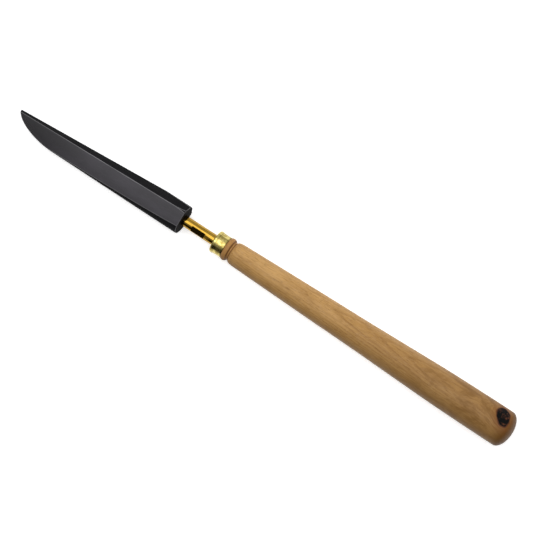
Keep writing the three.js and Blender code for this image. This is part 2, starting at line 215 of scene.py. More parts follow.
def turn(name, outline, sides):
    """A piece turned on the lathe from its outline of (x, radius)."""
    clear_hands()
    bpy.ops.mesh.primitive_plane_add(size=2 * MM, location=(0, 0, 0))
    piece = bpy.context.object
    piece.name = piece.data.name = name
    bpy.ops.object.mode_set(mode="EDIT")
    bpy.ops.mesh.select_all(action="SELECT")
    bpy.ops.mesh.merge(type="CENTER")
    here = (0.0, 0.0)
    for number, spot in enumerate(outline):
        step = ((spot[0] - here[0]) * MM, 0, (spot[1] - here[1]) * MM)
        if number == 0:
            bpy.ops.transform.translate(value=step)
        else:
            bpy.ops.mesh.extrude_region_move(TRANSFORM_OT_translate={"value": step})
        here = spot
    bpy.ops.mesh.select_all(action="SELECT")
    bpy.ops.mesh.spin(
        steps=sides, angle=2 * math.pi, center=(0, 0, 0), axis=(1, 0, 0), use_auto_merge=False)
    bpy.ops.mesh.select_all(action="SELECT")
    bpy.ops.mesh.remove_doubles(threshold=WELD)
    bpy.ops.mesh.normals_make_consistent(inside=False)
    bpy.ops.object.mode_set(mode="OBJECT")
    return piece


def cut_away(piece, cutter):
    """Takes the cutter's shape out of the piece and throws the cutter away."""
    take(piece)
    step = piece.modifiers.new("cut", "BOOLEAN")
    step.operation = "DIFFERENCE"
    step.solver = "EXACT"
    step.object = cutter
    bpy.ops.object.modifier_apply(modifier=step.name)
    bpy.data.objects.remove(cutter, do_unlink=True)


def break_edges(piece, width, sharpest, slot=-1, clamp=True):
    """Breaks the piece's crisp edges with a small round."""
    take(piece)
    step = piece.modifiers.new("edge break", "BEVEL")
    step.width = width * MM
    step.segments = 2
    step.limit_method = "ANGLE"
    step.angle_limit = math.radians(sharpest)
    step.use_clamp_overlap = clamp
    step.material = slot
    bpy.ops.object.modifier_apply(modifier=step.name)


def smooth(piece, angle):
    take(piece)
    bpy.ops.object.shade_smooth_by_angle(angle=math.radians(angle))


def lay(piece, body, node):
    """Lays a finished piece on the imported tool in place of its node."""
    take(piece)
    piece.matrix_world = LAY
    bpy.ops.object.transform_apply(location=True, rotation=True, scale=True)
    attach(piece, body)
    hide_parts(node)


# ------------------------------------------------------------------ the graphite blade

def shave(piece, point, outward):
    """Saws off all of the piece that lies beyond a plane, and closes the cut."""
    bpy.ops.mesh.select_all(action="SELECT")
    bpy.ops.mesh.bisect(
        plane_co=[c * MM for c in point], plane_no=Vector(outward).normalized(),
        use_fill=True, clear_outer=True, threshold=SAW_TOLERANCE)


def make_blade():
    clear_hands()
    middle = (BLADE_TIP + BLADE_BASE) / 2
    bpy.ops.mesh.primitive_cylinder_add(
        vertices=ROD_SIDES, radius=ROD_RADIUS * MM, depth=BLADE_LENGTH * MM,
        location=(middle * MM, 0, 0), rotation=(0, math.pi / 2, 0))
    blade = bpy.context.object
    blade.name = blade.data.name = "blade_graphite"
    bpy.ops.object.transform_apply(location=True, rotation=True, scale=True)
    bpy.ops.object.mode_set(mode="EDIT")
    cheek_slope = (CHEEK_AT_BASE - CHEEK_AT_TIP) / BLADE_LENGTH
    ridge_slope = RIDGE_DROP / BLADE_LENGTH
    for side in (1, -1):
        shave(blade, (BLADE_BASE, 0, side * CHEEK_AT_BASE), (-cheek_slope, 0, side))
        shave(blade, (BLADE_TIP, RIDGE_AT_TIP, 0), (
            -ridge_slope * math.sin(ROOF_HALF_ANGLE),
            math.sin(ROOF_HALF_ANGLE),
            side * math.cos(ROOF_HALF_ANGLE)))
    rise = RIDGE_AT_TIP - BELLY_TIP_THICKNESS + ROD_RADIUS
    reach = BELLY_LENGTH / math.sin(BELLY_SWEEP)
    lift = rise / (1 - math.cos(BELLY_SWEEP))
    for cut in range(BELLY_CUTS):
        angle = BELLY_SWEEP * (cut + 0.5) / BELLY_CUTS
        touch = (BLADE_TIP + BELLY_LENGTH - reach * math.sin(angle),
                 -ROD_RADIUS + lift * (1 - math.cos(angle)), 0)
        shave(blade, touch, (-lift * math.sin(angle), -reach * math.cos(angle), 0))
    bpy.ops.object.mode_set(mode="OBJECT")
    mouth = BLADE_BASE + OVERRUN
    bottom = BLADE_BASE - STUD_LENGTH
    wall = STUD_RADIUS + SOCKET_PLAY
    socket = turn(
        "socket", [(mouth, 0), (bottom - SOCKET_POINT, 0), (bottom, wall), (mouth, wall), (mouth, 0)],
        SOCKET_SIDES)
    cut_away(blade, socket)
    return blade


# ------------------------------------------------------------------ the brass shaft

def make_shaft():
    shoulder = FERRULE_WALL - SHOULDER_SETBACK
    stud_end = BLADE_BASE - STUD_LENGTH
    front = BLADE_BASE + SHAFT_GAP
    thread_root = STUD_RADIUS - THREAD_DEPTH
    groove_front, groove_back = (SHAFT_TAIL - wall for wall in CLIP_GROOVE)
    groove_floor = JOURNAL_RADIUS - CLIP_GROOVE_DEPTH
    outline = [(stud_end, 0), (stud_end, STUD_RADIUS - STUD_CHAMFER)]
    for thread in range(int((STUD_LENGTH - THREAD_RUNOUT) / THREAD_PITCH)):
        crest = stud_end + STUD_CHAMFER + thread * THREAD_PITCH
        outline += [(crest, STUD_RADIUS), (crest + THREAD_PITCH / 2, thread_root)]
    outline += [
        (BLADE_BASE - STUD_NECK, thread_root), (front, thread_root),
        (front, SHAFT_RADIUS - SHAFT_CHAMFER), (front + SHAFT_CHAMFER, SHAFT_RADIUS),
        (shoulder - SHOULDER_CHAMFER, SHAFT_RADIUS), (shoulder, SHAFT_RADIUS - SHOULDER_CHAMFER),
        (shoulder, JOURNAL_RADIUS), (groove_front, JOURNAL_RADIUS),
        (groove_front, groove_floor), (groove_back, groove_floor),
        (groove_back, JOURNAL_RADIUS), (SHAFT_TAIL - TAIL_CHAMFER, JOURNAL_RADIUS),
        (SHAFT_TAIL, JOURNAL_RADIUS - TAIL_CHAMFER), (SHAFT_TAIL, 0)]
    shaft = turn("shaft_brass", outline, SHAFT_SIDES)
    for side in (0, math.pi):
        clear_hands()
        bpy.ops.mesh.primitive_cube_add(size=1, location=(0, 0, 0))
        cutter = bpy.context.object
        bpy.ops.object.mode_set(mode="EDIT")
        bpy.ops.mesh.select_all(action="SELECT")
        bpy.ops.transform.resize(value=(FLAT_LENGTH * MM, 3 * SHAFT_RADIUS * MM, SHAFT_RADIUS * MM),
                                 center_override=(0, 0, 0))
        bpy.ops.transform.translate(value=(
            (-FLAT_FROM_FERRULE - FLAT_LENGTH / 2) * MM, 0, (FLAT_WIDTH + SHAFT_RADIUS) / 2 * MM))
        bpy.ops.object.mode_set(mode="OBJECT")
        cutter.rotation_euler = (FLAT_TURN + side, 0, 0)
        bpy.ops.object.transform_apply(location=True, rotation=True, scale=True)
        cut_away(shaft, cutter)
    return shaft


# ------------------------------------------------------------------ the brass ferrule

def make_ferrule():
    hole = SHAFT_RADIUS + HOLE_PLAY
    socket = TENON_RADIUS + TENON_PLAY
    tenon_front = FERRULE_LENGTH - TENON_LENGTH
    outline = [(HOLE_CHAMFER, hole), (0, hole + HOLE_CHAMFER)]
    outline += arc(LIP_ROUND, LIP_RADIUS - LIP_ROUND, LIP_ROUND, LIP_ROUND, start=180, end=90, steps=10)
    outline += swept((LIP_BACK, LIP_RADIUS), ((LIP_BACK + FLARE_END) / 2, FERRULE_RADIUS),
                     (FLARE_END, FERRULE_RADIUS), steps=12)
    outline += [(FERRULE_LENGTH - REAR_BAND, FERRULE_RADIUS)]
    outline += arc(FERRULE_LENGTH - REAR_ROUND, FERRULE_RADIUS - REAR_ROUND, REAR_ROUND, REAR_ROUND,
                   start=90, end=0, steps=4)
    outline += [(FERRULE_LENGTH, socket), (tenon_front, socket), (tenon_front, POCKET_RADIUS),
                (FERRULE_WALL, POCKET_RADIUS), (FERRULE_WALL, hole), (HOLE_CHAMFER, hole)]
    return turn("ferrule_brass", outline, FERRULE_SIDES)


# ------------------------------------------------------------------ the wooden handle

def grip_outline(steps_between):
    """The long swell from the shoulder to the butt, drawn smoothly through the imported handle's corners."""
    butt_start = HANDLE_END - BUTT_ROUND
    corners = [spot for spot in outline_of("wood_handle")
               if SHOULDER_END + MARGIN < spot[0] < butt_start - MARGIN
               and spot[1] > SHOULDER_RADIUS - TOLERANCE]
    stations = [(SHOULDER_END, SHOULDER_RADIUS)] + corners[::2] + [(butt_start, BUTT_RADIUS)]
    padded = [stations[0]] + stations + [stations[-1]]
    spots = []
    for a, b, c, d in zip(padded, padded[1:], padded[2:], padded[3:]):
        for step in range(steps_between):
            t = step / steps_between
            spots.append(tuple(
                0.5 * (2 * q + (r - p) * t
                       + (2 * p - 5 * q + 4 * r - s) * t * t
                       + (3 * q - p - 3 * r + s) * t ** 3)
                for p, q, r, s in zip(a, b, c, d)))
    return spots[1:]


def make_handle():
    wood_front = FERRULE_LENGTH + WOOD_GAP
    tenon_front = FERRULE_LENGTH - TENON_LENGTH + WOOD_GAP
    bead_start = math.degrees(math.acos((wood_front - BEAD_CENTRE) / BEAD_HALF_LENGTH))
    lip_along, lip_out = QUIRK_LIP
    lean_along, lean_out = SHOULDER_LEAN
    outline = [(BORE_END + BORE_POINT, 0), (BORE_END, BORE_RADIUS),
               (tenon_front + BORE_CHAMFER, BORE_RADIUS), (tenon_front, BORE_RADIUS + BORE_CHAMFER),
               (tenon_front, TENON_RADIUS), (wood_front, TENON_RADIUS)]
    outline += arc(BEAD_CENTRE, NECK_RADIUS, BEAD_HALF_LENGTH, BEAD_RADIUS - NECK_RADIUS,
                   start=bead_start, end=0, steps=22)
    outline += [(QUIRK_START - QUIRK_FILLET, NECK_RADIUS), (QUIRK_START, NECK_RADIUS + QUIRK_FILLET),
                (QUIRK_START + lip_along, QUIRK_RADIUS - lip_out),
                (QUIRK_START + QUIRK_CORNER, QUIRK_RADIUS)]
    outline += swept((QUIRK_END, QUIRK_RADIUS), (QUIRK_END + lean_along, SHOULDER_RADIUS - lean_out),
                     (SHOULDER_END, SHOULDER_RADIUS), steps=14)
    outline += grip_outline(steps_between=6)
    outline += arc(HANDLE_END - BUTT_ROUND, 0, BUTT_ROUND, BUTT_RADIUS, start=90, end=2, steps=26)
    outline += [(HANDLE_END, 0)]
    return turn("handle_wood", outline, HANDLE_SIDES)


# ------------------------------------------------------------------ finishes

class Finish:
    """A paint pot: one material, with short words for the nodes that mix it."""

    def __init__(self, name):
        self.material = bpy.data.materials.new(name)
        self.material.use_nodes = True
        self.nodes = self.material.node_tree.nodes
        self.links = self.material.node_tree.links
        self.nodes.clear()
        self.shader = self.nodes.new("ShaderNodeBsdfPrincipled")
        result = self.nodes.new("ShaderNodeOutputMaterial")
        self.links.new(self.shader.outputs["BSDF"], result.inputs["Surface"])
        place = self.nodes.new("ShaderNodeTexCoord")
        square_up = self.nodes.new("ShaderNodeMapping")
        unlay = LAY.inverted()
        square_up.inputs["Location"].default_value = unlay.to_translation()
        square_up.inputs["Rotation"].default_value = unlay.to_euler()
        self.links.new(place.outputs["Object"], square_up.inputs["Vector"])
        # where we are on the tool, in millimetres
        self.spot = self.scaled(square_up.outputs["Vector"], (1 / MM,) * 3)

    def plug(self, value, socket):
        if isinstance(value, bpy.types.NodeSocket):
            self.links.new(value, socket)
        else:
            socket.default_value = value

    def paint(self, color, socket):
        """Plugs in a mixed colour, or sets a plain one."""
        self.plug(color if isinstance(color, bpy.types.NodeSocket) else (*color, 1.0), socket)

    def sum(self, operation, *values):
        node = self.nodes.new("ShaderNodeMath")
        node.operation = operation
        for value, socket in zip(values, node.inputs):
            self.plug(value, socket)
        return node.outputs[0]

    def vector(self, operation, *values):
        node = self.nodes.new("ShaderNodeVectorMath")
        node.operation = operation
        for value, socket in zip(values, node.inputs):
            self.plug(value, socket)
        return node.outputs["Value" if operation == "DOT_PRODUCT" else "Vector"]

    def scaled(self, vector, factors):
        return self.vector("MULTIPLY", vector, factors)

    def parts(self, vector):
        node = self.nodes.new("ShaderNodeSeparateXYZ")
        self.plug(vector, node.inputs[0])
        return node.outputs[0], node.outputs[1], node.outputs[2]

    def point(self, x, y, z):
        node = self.nodes.new("ShaderNodeCombineXYZ")
        for value, socket in zip((x, y, z), node.inputs):
            self.plug(value, socket)
        return node.outputs[0]

    def noise(self, stretch, detail=4.0, roughness=0.55, distortion=0.0, at=None):
        """Cloudy noise. stretch is cycles per millimetre along, towards the spine and square."""
        node = self.nodes.new("ShaderNodeTexNoise")
        node.inputs["Scale"].default_value = 1.0
        node.inputs["Detail"].default_value = detail
        node.inputs["Roughness"].default_value = roughness
        node.inputs["Distortion"].default_value = distortion
        self.plug(self.scaled(at or self.spot, stretch), node.inputs["Vector"])
        return node.outputs["Fac"]

    def fade(self, value, start, end, low=0.0, high=1.0):
        """Goes smoothly from low at start to high at end."""
        node = self.nodes.new("ShaderNodeMapRange")
        node.interpolation_type = "SMOOTHSTEP"
        for name, number in (("Value", value), ("From Min", start), ("From Max", end),
                             ("To Min", low), ("To Max", high)):
            self.plug(number, node.inputs[name])
        return node.outputs["Result"]

    def blend(self, share, first, second):
        node = self.nodes.new("ShaderNodeMix")
        node.data_type = "RGBA"
        node.clamp_factor = True
        self.plug(share, node.inputs[0])
        self.paint(first, node.inputs[6])
        self.paint(second, node.inputs[7])
        return node.outputs[2]

    def relief(self, height, depth, under=None):
        """Lifts the surface by height times depth, in millimetres."""
        node = self.nodes.new("ShaderNodeBump")
        node.inputs["Strength"].default_value = 1.0
        node.inputs["Distance"].default_value = depth * MM
        self.plug(height, node.inputs["Height"])
        if under is not None:
            self.plug(under, node.inputs["Normal"])
        return node.outputs["Normal"]

    def finish(self, color, roughness, metallic, normal, **settings):
        self.paint(color, self.shader.inputs["Base Color"])
        self.plug(roughness, self.shader.inputs["Roughness"])
        self.plug(metallic, self.shader.inputs["Metallic"])
        self.plug(normal, self.shader.inputs["Normal"])
        for name, value in settings.items():
            self.shader.inputs[name.replace("_", " ")].default_value = value
        return self.material


# colours, as red, green and blue
ROD_GOLD, ROD_DULL, ROD_BROWN = (0.41, 0.25, 0.038), (0.30, 0.172, 0.022), (0.19, 0.10, 0.012)
SATIN_BRASS, TARNISHED_BRASS = (0.60, 0.50, 0.175), (0.34, 0.26, 0.07)
# the second colour on the next line is painted shade for the ferrule's folds
BRASS_MARK, BRASS_CREASE_SHADE = (0.24, 0.18, 0.045), (0.16, 0.115, 0.025)
# the first colour on the next line is painted shade on the blade's base face against the shaft
BASE_JOINT_SHADE, DULL_TIP = (0.0025, 0.0024, 0.0027), (0.006, 0.0058, 0.0064)
PALE_WOOD, WARM_WOOD, DEEP_WOOD = (0.50, 0.295, 0.11), (0.42, 0.235, 0.077), (0.20, 0.092, 0.024)
FLECK_BROWN, FRECKLE_CREAM, BEAD_RED = (0.12, 0.055, 0.018), (0.46, 0.28, 0.125), (0.30, 0.13, 0.032)
# the first colour on the next line is painted shade for the handle's groove and its joint with the ferrule
GROOVE_SHADE, CLOUD_BROWN, GRIP_BROWN = (0.07, 0.024, 0.007), (0.19, 0.092, 0.024), (0.15, 0.072, 0.022)
# the first colour on the next line is painted shade on the handle's belly side
BELLY_SIDE_SHADE, BUTT_BROWN = (0.15, 0.078, 0.021), (0.095, 0.04, 0.006)
KNOT_HALO, KNOT_BARK = (0.17, 0.062, 0.014), (0.06, 0.016, 0.007)
KNOT_BLACK, KNOT_RUST = (0.0006, 0.0006, 0.0006), (0.075, 0.026, 0.012)


def turned_metal(name, light, dark, roughness, marks, depth):
    """Metal off the lathe: fine rings round the axis, faint tarnish and hair scratches."""
    pot = Finish(name)
    rings = pot.noise((marks, 0.02, 0.02), detail=3.0)
    tarnish = pot.noise((0.35, 0.35, 0.35), detail=5.0)
    speck = pot.noise((3.0, 3.0, 3.0), detail=2.0)
    color = pot.blend(pot.fade(tarnish, 0.35, 0.75), light, dark)
    rough = pot.sum("ADD", pot.fade(tarnish, 0.3, 0.8, roughness, roughness * 1.5),
                    pot.sum("MULTIPLY", pot.sum("SUBTRACT", speck, 0.5), roughness * 0.5))
    return pot.finish(color, rough, 1.0, pot.relief(rings, depth))


def drawn_brass():
    """Polished drawn rod: deep gold, with faint lines along it and a little fingering."""
    pot = Finish("polished brass rod")
    lines = pot.noise((0.012, 2.6, 2.6), detail=3.0)
    cloud = pot.noise((0.12, 0.3, 0.3), detail=3.0)
    color = pot.blend(pot.fade(cloud, 0.3, 0.75), ROD_GOLD, ROD_DULL)
    color = pot.blend(pot.fade(lines, 0.5, 0.8, 0.0, 0.35), color, ROD_BROWN)
    rough = pot.fade(cloud, 0.25, 0.8, 0.1, 0.19)
    return pot.finish(color, rough, 1.0, pot.relief(lines, 0.004))


def ferrule_brass():
    """Turned brass gone satin, with cutter rings, soft dents and painted shade in its folds."""
    pot = Finish("satin brass ferrule")
    x = pot.parts(pot.spot)[0]
    rings = pot.noise((4.5, 0.03, 0.03), detail=3.0)
    coarse = pot.noise((1.1, 0.05, 0.05), detail=2.0)
    tarnish = pot.noise((0.28, 0.4, 0.4), detail=5.0)
    color = pot.blend(pot.fade(tarnish, 0.42, 0.6), SATIN_BRASS, TARNISHED_BRASS)
    color = pot.blend(pot.fade(rings, 0.5, 0.8, 0.0, 0.35), color, BRASS_MARK)
    # painted shade: darker bands behind the lip and along the rear edge, where the wood meets it
    for fold in (LIP_BACK + 0.9, FERRULE_LENGTH - 0.5):
        crease = pot.fade(pot.sum("ABSOLUTE", pot.sum("SUBTRACT", x, fold)), 0.1, 0.6, 0.6, 0.0)
        color = pot.blend(crease, color, BRASS_CREASE_SHADE)
    dents = pot.noise((0.55, 0.7, 0.7), detail=3.0)
    rough = pot.fade(tarnish, 0.25, 0.8, 0.18, 0.36)
    normal = pot.relief(rings, 0.02, pot.relief(coarse, 0.035, pot.relief(dents, 0.05)))
    return pot.finish(color, rough, 1.0, normal)


def graphite(name, light, dark, dust, sheen, gleam, tip=0.0, belly_shade=0.0):
    """Machined graphite: near black, a fine mineral grain, cutter marks and soft burnishing."""
    pot = Finish(name)
    grain = pot.noise((5.0, 5.0, 5.0), detail=3.0, roughness=0.7)
    cloud = pot.noise((0.03, 0.09, 0.09), detail=4.0)
    rubbed = pot.noise((0.05, 1.3, 1.3), detail=3.0)
    x, y, z = pot.parts(pot.spot)
    sweep = pot.sum("ADD", pot.sum("MULTIPLY", x, 0.55), pot.sum("MULTIPLY", y, 0.9))
    cutter = pot.sum("SINE", pot.sum("MULTIPLY", pot.sum("ADD", sweep, pot.sum("MULTIPLY", cloud, 6.0)), 3.4))
    color = pot.blend(pot.fade(cloud, 0.3, 0.75), dark, light)
    color = pot.blend(pot.fade(grain, 0.55, 0.75, 0.0, 0.45), color, dust)
    color = pot.blend(pot.fade(rubbed, 0.56, 0.8, 0.0, 0.3), color, dust)
    # the sawn base end goes dark as painted shade where it meets the shaft, the belly side goes dark as
    # painted shade, and the tip is dull
    color = pot.blend(pot.fade(x, BLADE_BASE - 0.25, BLADE_BASE - 0.05, 0.0, 0.8), color, BASE_JOINT_SHADE)
    # painted shade on the belly side, so only the spine side's edges keep a painted highlight
    color = pot.blend(pot.fade(y, 3.0, -3.0, 0.0, belly_shade), color, dark)
    color = pot.blend(pot.fade(x, -110.0, -190.0, 0.0, tip), color, DULL_TIP)
    rough = pot.sum("ADD", pot.fade(cloud, 0.2, 0.8, sheen, sheen + 0.1),
                    pot.sum("MULTIPLY", pot.sum("SUBTRACT", grain, 0.5), 0.25))
    normal = pot.relief(grain, 0.02, pot.relief(cutter, 0.0016))
    return pot.finish(color, rough, 0.0, normal, Specular_IOR_Level=gleam)


def handle_wood():
    """Light close-grained hardwood under oil, with growth rings, fine fibres, flecks and one dark knot."""
    pot = Finish("oiled hardwood with a knot")
    x, y, z = pot.parts(pot.spot)

    # how far we are from the knot's core, 1 on its rim
    out = Vector((0, math.sin(KNOT_ROUND), math.cos(KNOT_ROUND)))
    round_about = Vector((0, math.cos(KNOT_ROUND), -math.sin(KNOT_ROUND)))
    long_way = (Vector((-math.sin(KNOT_LEAN), 0, 0)) + round_about * math.cos(KNOT_LEAN)).normalized()
    short_way = long_way.cross(out).normalized()
    heart = Vector((KNOT_ALONG, 0, 0)) + out * KNOT_DEPTH
    from_heart = pot.vector("SUBTRACT", pot.spot, tuple(heart))
    wander = pot.sum("SUBTRACT", pot.noise((0.16, 0.16, 0.16), detail=3.0), 0.5)
    u = pot.sum("DIVIDE", pot.vector("DOT_PRODUCT", from_heart, tuple(long_way)), KNOT_LONG)
    v = pot.sum("DIVIDE", pot.vector("DOT_PRODUCT", from_heart, tuple(short_way)), KNOT_SHORT)
    depth = pot.vector("DOT_PRODUCT", from_heart, tuple(out))
    egg = pot.sum("MULTIPLY", v, pot.sum("SUBTRACT", 1.0, pot.sum("MULTIPLY", u, 0.08)))
    oval = pot.sum("SQRT", pot.sum("ADD", pot.sum("MULTIPLY", u, u), pot.sum("MULTIPLY", egg, egg)))
    rim = pot.sum("ADD", oval, pot.sum("MULTIPLY", wander, 0.4))
    near_side = pot.fade(depth, -14.0, -9.0)
    pull = pot.sum("EXPONENT", pot.sum("MULTIPLY", pot.sum("MULTIPLY", rim, rim), -0.28))
    swirl = pot.sum("MULTIPLY", near_side, pull)

    # growth rings round a pith that lies outside the handle, pushed aside by the knot
    drift = pot.noise((0.004, 0.02, 0.02), detail=3.0)
    ripple = pot.noise((0.02, 0.12, 0.12), detail=3.0)
    ring_y = pot.sum("ADD", y, pot.sum("ADD", 31.0, pot.sum("MULTIPLY", x, 0.018)))
    ring_z = pot.sum("ADD", z, pot.sum("ADD", 46.0, pot.sum("MULTIPLY", x, -0.012)))
    from_pith = pot.sum("SQRT", pot.sum(
        "ADD", pot.sum("MULTIPLY", ring_y, ring_y), pot.sum("MULTIPLY", ring_z, ring_z)))
    years = pot.sum("ADD", pot.sum("MULTIPLY", from_pith, 0.75), pot.sum("MULTIPLY", drift, 6.0))
    pushed = pot.sum("ADD", pot.sum("MULTIPLY", ripple, 0.9), pot.sum("MULTIPLY", swirl, 5.5))
    season = pot.sum("FRACT", pot.sum("ADD", years, pushed))
    late_wood = pot.sum("MULTIPLY", pot.fade(season, 0.35, 0.9), pot.fade(season, 1.0, 0.93))

    # fibres and flecks follow the grain, so they bend with the knot too
    bent = pot.point(x, pot.sum("ADD", y, pot.sum("MULTIPLY", swirl, 9.0)),
                     pot.sum("ADD", z, pot.sum("MULTIPLY", swirl, -4.0)))
    fibre = pot.noise((0.09, 1.5, 1.5), detail=4.0, roughness=0.65, at=bent)
    fleck = pot.noise((0.22, 1.25, 1.25), detail=2.0, roughness=0.6, at=bent)
    shade = pot.noise((0.012, 0.05, 0.05), detail=3.0)
    freckle = pot.noise((0.28, 0.75, 0.75), detail=3.0, at=bent)
    cloud = pot.noise((0.05, 0.14, 0.14), detail=4.0, roughness=0.6, distortion=0.8, at=bent)

    color = pot.blend(pot.fade(shade, 0.3, 0.7), PALE_WOOD, WARM_WOOD)
    ringed = pot.sum("MULTIPLY", late_wood, pot.fade(shade, 0.35, 0.65, 0.12, 0.42))
    color = pot.blend(ringed, color, DEEP_WOOD)
    color = pot.blend(pot.fade(fibre, 0.45, 0.72, 0.0, 0.5), color, DEEP_WOOD)
    color = pot.blend(pot.fade(fleck, 0.56, 0.7, 0.0, 0.42), color, FLECK_BROWN)
    color = pot.blend(pot.fade(freckle, 0.5, 0.7, 0.0, 0.5), color, FRECKLE_CREAM)
    # the bead and its groove are a little redder
    color = pot.blend(pot.fade(x, 21.0, 16.0, 0.0, 0.5), color, BEAD_RED)
    # painted shade in the groove and against the ferrule
    for fold in (FERRULE_LENGTH, BEAD_CENTRE + 0.8 * BEAD_HALF_LENGTH, QUIRK_END - 0.1):
        crease = pot.fade(pot.sum("ABSOLUTE", pot.sum("SUBTRACT", x, fold)), 0.2, 0.65, 0.75, 0.0)
        color = pot.blend(crease, color, GROOVE_SHADE)
    # it darkens towards the butt, where the branch was, and the belly side is darker as painted shade
    clouded = pot.sum("MULTIPLY", pot.fade(cloud, 0.42, 0.62), pot.fade(x, 150.0, 270.0, 0.12, 0.75))
    color = pot.blend(clouded, color, CLOUD_BROWN)
    color = pot.blend(pot.fade(x, 80.0, 275.0, 0.0, 0.5), color, GRIP_BROWN)
    color = pot.blend(pot.fade(y, 2.0, -14.0, 0.0, 0.5), color, BELLY_SIDE_SHADE)
    color = pot.blend(pot.fade(x, 272.0, 284.0, 0.0, 0.9), color, BUTT_BROWN)
    # the knot: a stained halo, a rim of bark and a black core with rusty specks
    halo = pot.sum("MULTIPLY", near_side, pot.fade(rim, 2.2, 1.1))
    stained = pot.sum("MULTIPLY", halo, pot.fade(cloud, 0.35, 0.65, 0.35, 0.75))
    color = pot.blend(stained, color, KNOT_HALO)
    bark = pot.sum("MULTIPLY", near_side, pot.fade(rim, 1.22, 1.06))
    color = pot.blend(pot.sum("MULTIPLY", bark, 0.85), color, KNOT_BARK)
    core = pot.sum("MULTIPLY", near_side, pot.fade(rim, 1.05, 0.96))
    knot_rings = pot.noise((0.34, 0.34, 0.34), detail=4.0, roughness=0.6, distortion=1.0)
    color = pot.blend(core, color, pot.blend(pot.fade(knot_rings, 0.53, 0.64), KNOT_BLACK, KNOT_RUST))

    rough = pot.sum("ADD", pot.fade(fibre, 0.3, 0.8, 0.42, 0.55), pot.sum("MULTIPLY", core, 0.3))
    pores = pot.relief(fleck, -0.03, pot.relief(fibre, 0.03))
    sunk = pot.sum("MULTIPLY", core, pot.sum("ADD", pot.sum("MULTIPLY", knot_rings, 1.4), -1.6))
    return pot.finish(color, rough, 0.0, pot.relief(sunk, 0.22, pores), Specular_IOR_Level=0.12)


# ------------------------------------------------------------------ make every piece

def coat(piece, *finishes):
    piece.data.materials.clear()
    for finish in finishes:
        piece.data.materials.append(finish)


RAW_SLOT, CHEEK_SLOT, EDGE_SLOT = 0, 1, 2
CHEEK_FACING = 0.99               # how squarely a face of the blade must look out to be a ground cheek

blade = make_blade()
coat(blade,
     graphite("raw graphite", light=(0.010, 0.0098, 0.0106), dark=(0.0055, 0.0054, 0.006),
              dust=(0.022, 0.0215, 0.024), sheen=0.62, gleam=0.025),
     graphite("ground graphite cheek", light=(0.049, 0.0455, 0.053), dark=(0.034, 0.032, 0.0365),
              dust=(0.085, 0.08, 0.09), sheen=0.42, gleam=0.2, tip=0.7),
     # the edge is lighter partly from burnishing and partly as a painted highlight, and its last share
     # darkens it on the belly side as painted shade
     graphite("burnished graphite edge with painted highlight", light=(0.17, 0.165, 0.175), dark=(0.075, 0.073, 0.078),
              dust=(0.23, 0.22, 0.235), sheen=0.42, gleam=0.3, tip=0.4, belly_shade=0.7))
for face in blade.data.polygons:
    face.material_index = CHEEK_SLOT if abs(face.normal.z) > CHEEK_FACING else RAW_SLOT
break_edges(blade, width=0.36, sharpest=12.0, slot=EDGE_SLOT, clamp=False)
smooth(blade, angle=20.0)
lay(blade, "blade", "graphite_blade")

shaft = make_shaft()
coat(shaft, drawn_brass())
break_edges(shaft, width=0.1, sharpest=35.0)
smooth(shaft, angle=30.0)
lay(shaft, "blade", "swivel_shaft")

ferrule = make_ferrule()
coat(ferrule, ferrule_brass())
break_edges(ferrule, width=0.08, sharpest=50.0)
smooth(ferrule, angle=35.0)
lay(ferrule, "handle", "ferrule")

handle = make_handle()
coat(handle, handle_wood())
smooth(handle, angle=40.0)
lay(handle, "handle", "wood_handle")

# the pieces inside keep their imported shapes: light and dark colour, roughness, cutter rings to the
# millimetre and their depth, and the nodes that have this finish
INSIDE = {
    "ground bearing steel": (
        (0.62, 0.63, 0.65), (0.5, 0.51, 0.53), 0.14, 6.0, 0.002,
        ["bearing_outer_race", "bearing_inner_race"]
        + [f"bearing_ball_{number:02d}" for number in range(1, 11)]),
    "pressed shield steel": (
        (0.6, 0.61, 0.63), (0.48, 0.49, 0.51), 0.26, 3.0, 0.004,
        ["bearing_front_shield", "bearing_rear_shield", "bearing_shim"]),
    "cage steel": (
        (0.42, 0.42, 0.44), (0.32, 0.32, 0.34), 0.3, 3.0, 0.004, ["bearing_cage", "wave_washer"]),
    "blackened spring steel": (
        (0.07, 0.07, 0.075), (0.045, 0.045, 0.05), 0.35, 3.0, 0.004, ["retaining_clip"]),
    "bush bronze": (
        (0.55, 0.32, 0.13), (0.42, 0.23, 0.09), 0.32, 3.0, 0.008, ["rear_bush", "tail_washer"]),
    "sleeve brass": (
        (0.70, 0.56, 0.22), (0.55, 0.42, 0.15), 0.28, 3.0, 0.008, ["bearing_sleeve"]),
}
for name, (*recipe, nodes) in INSIDE.items():
    metal = turned_metal(name, *recipe)
    for node in nodes:
        coat(frame["nodes"][node], metal)


# ------------------------------------------------------------------ floor, light and camera

FLOOR_SIDE = 8.0
FLOOR_WHITE = 0.93
FLOOR_GLOW = 0.45                 # a little light of its own keeps it pale under the tool


def make_floor():
    clear_hands()
    bpy.ops.mesh.primitive_grid_add(x_subdivisions=8, y_subdivisions=8, size=FLOOR_SIDE, location=(0, 0, 0))
    floor = bpy.context.object
    floor.name = "pale_floor"
    paint = bpy.data.materials.new("pale floor paint")
    paint.use_nodes = True
    shader = paint.node_tree.nodes["Principled BSDF"]
    shader.inputs["Base Color"].default_value = (FLOOR_WHITE, FLOOR_WHITE, FLOOR_WHITE, 1.0)
    shader.inputs["Roughness"].default_value = 0.9
    shader.inputs["Specular IOR Level"].default_value = 0.1
    shader.inputs["Emission Color"].default_value = (1.0, 1.0, 1.0, 1.0)
    shader.inputs["Emission Strength"].default_value = FLOOR_GLOW
    floor.data.materials.append(paint)


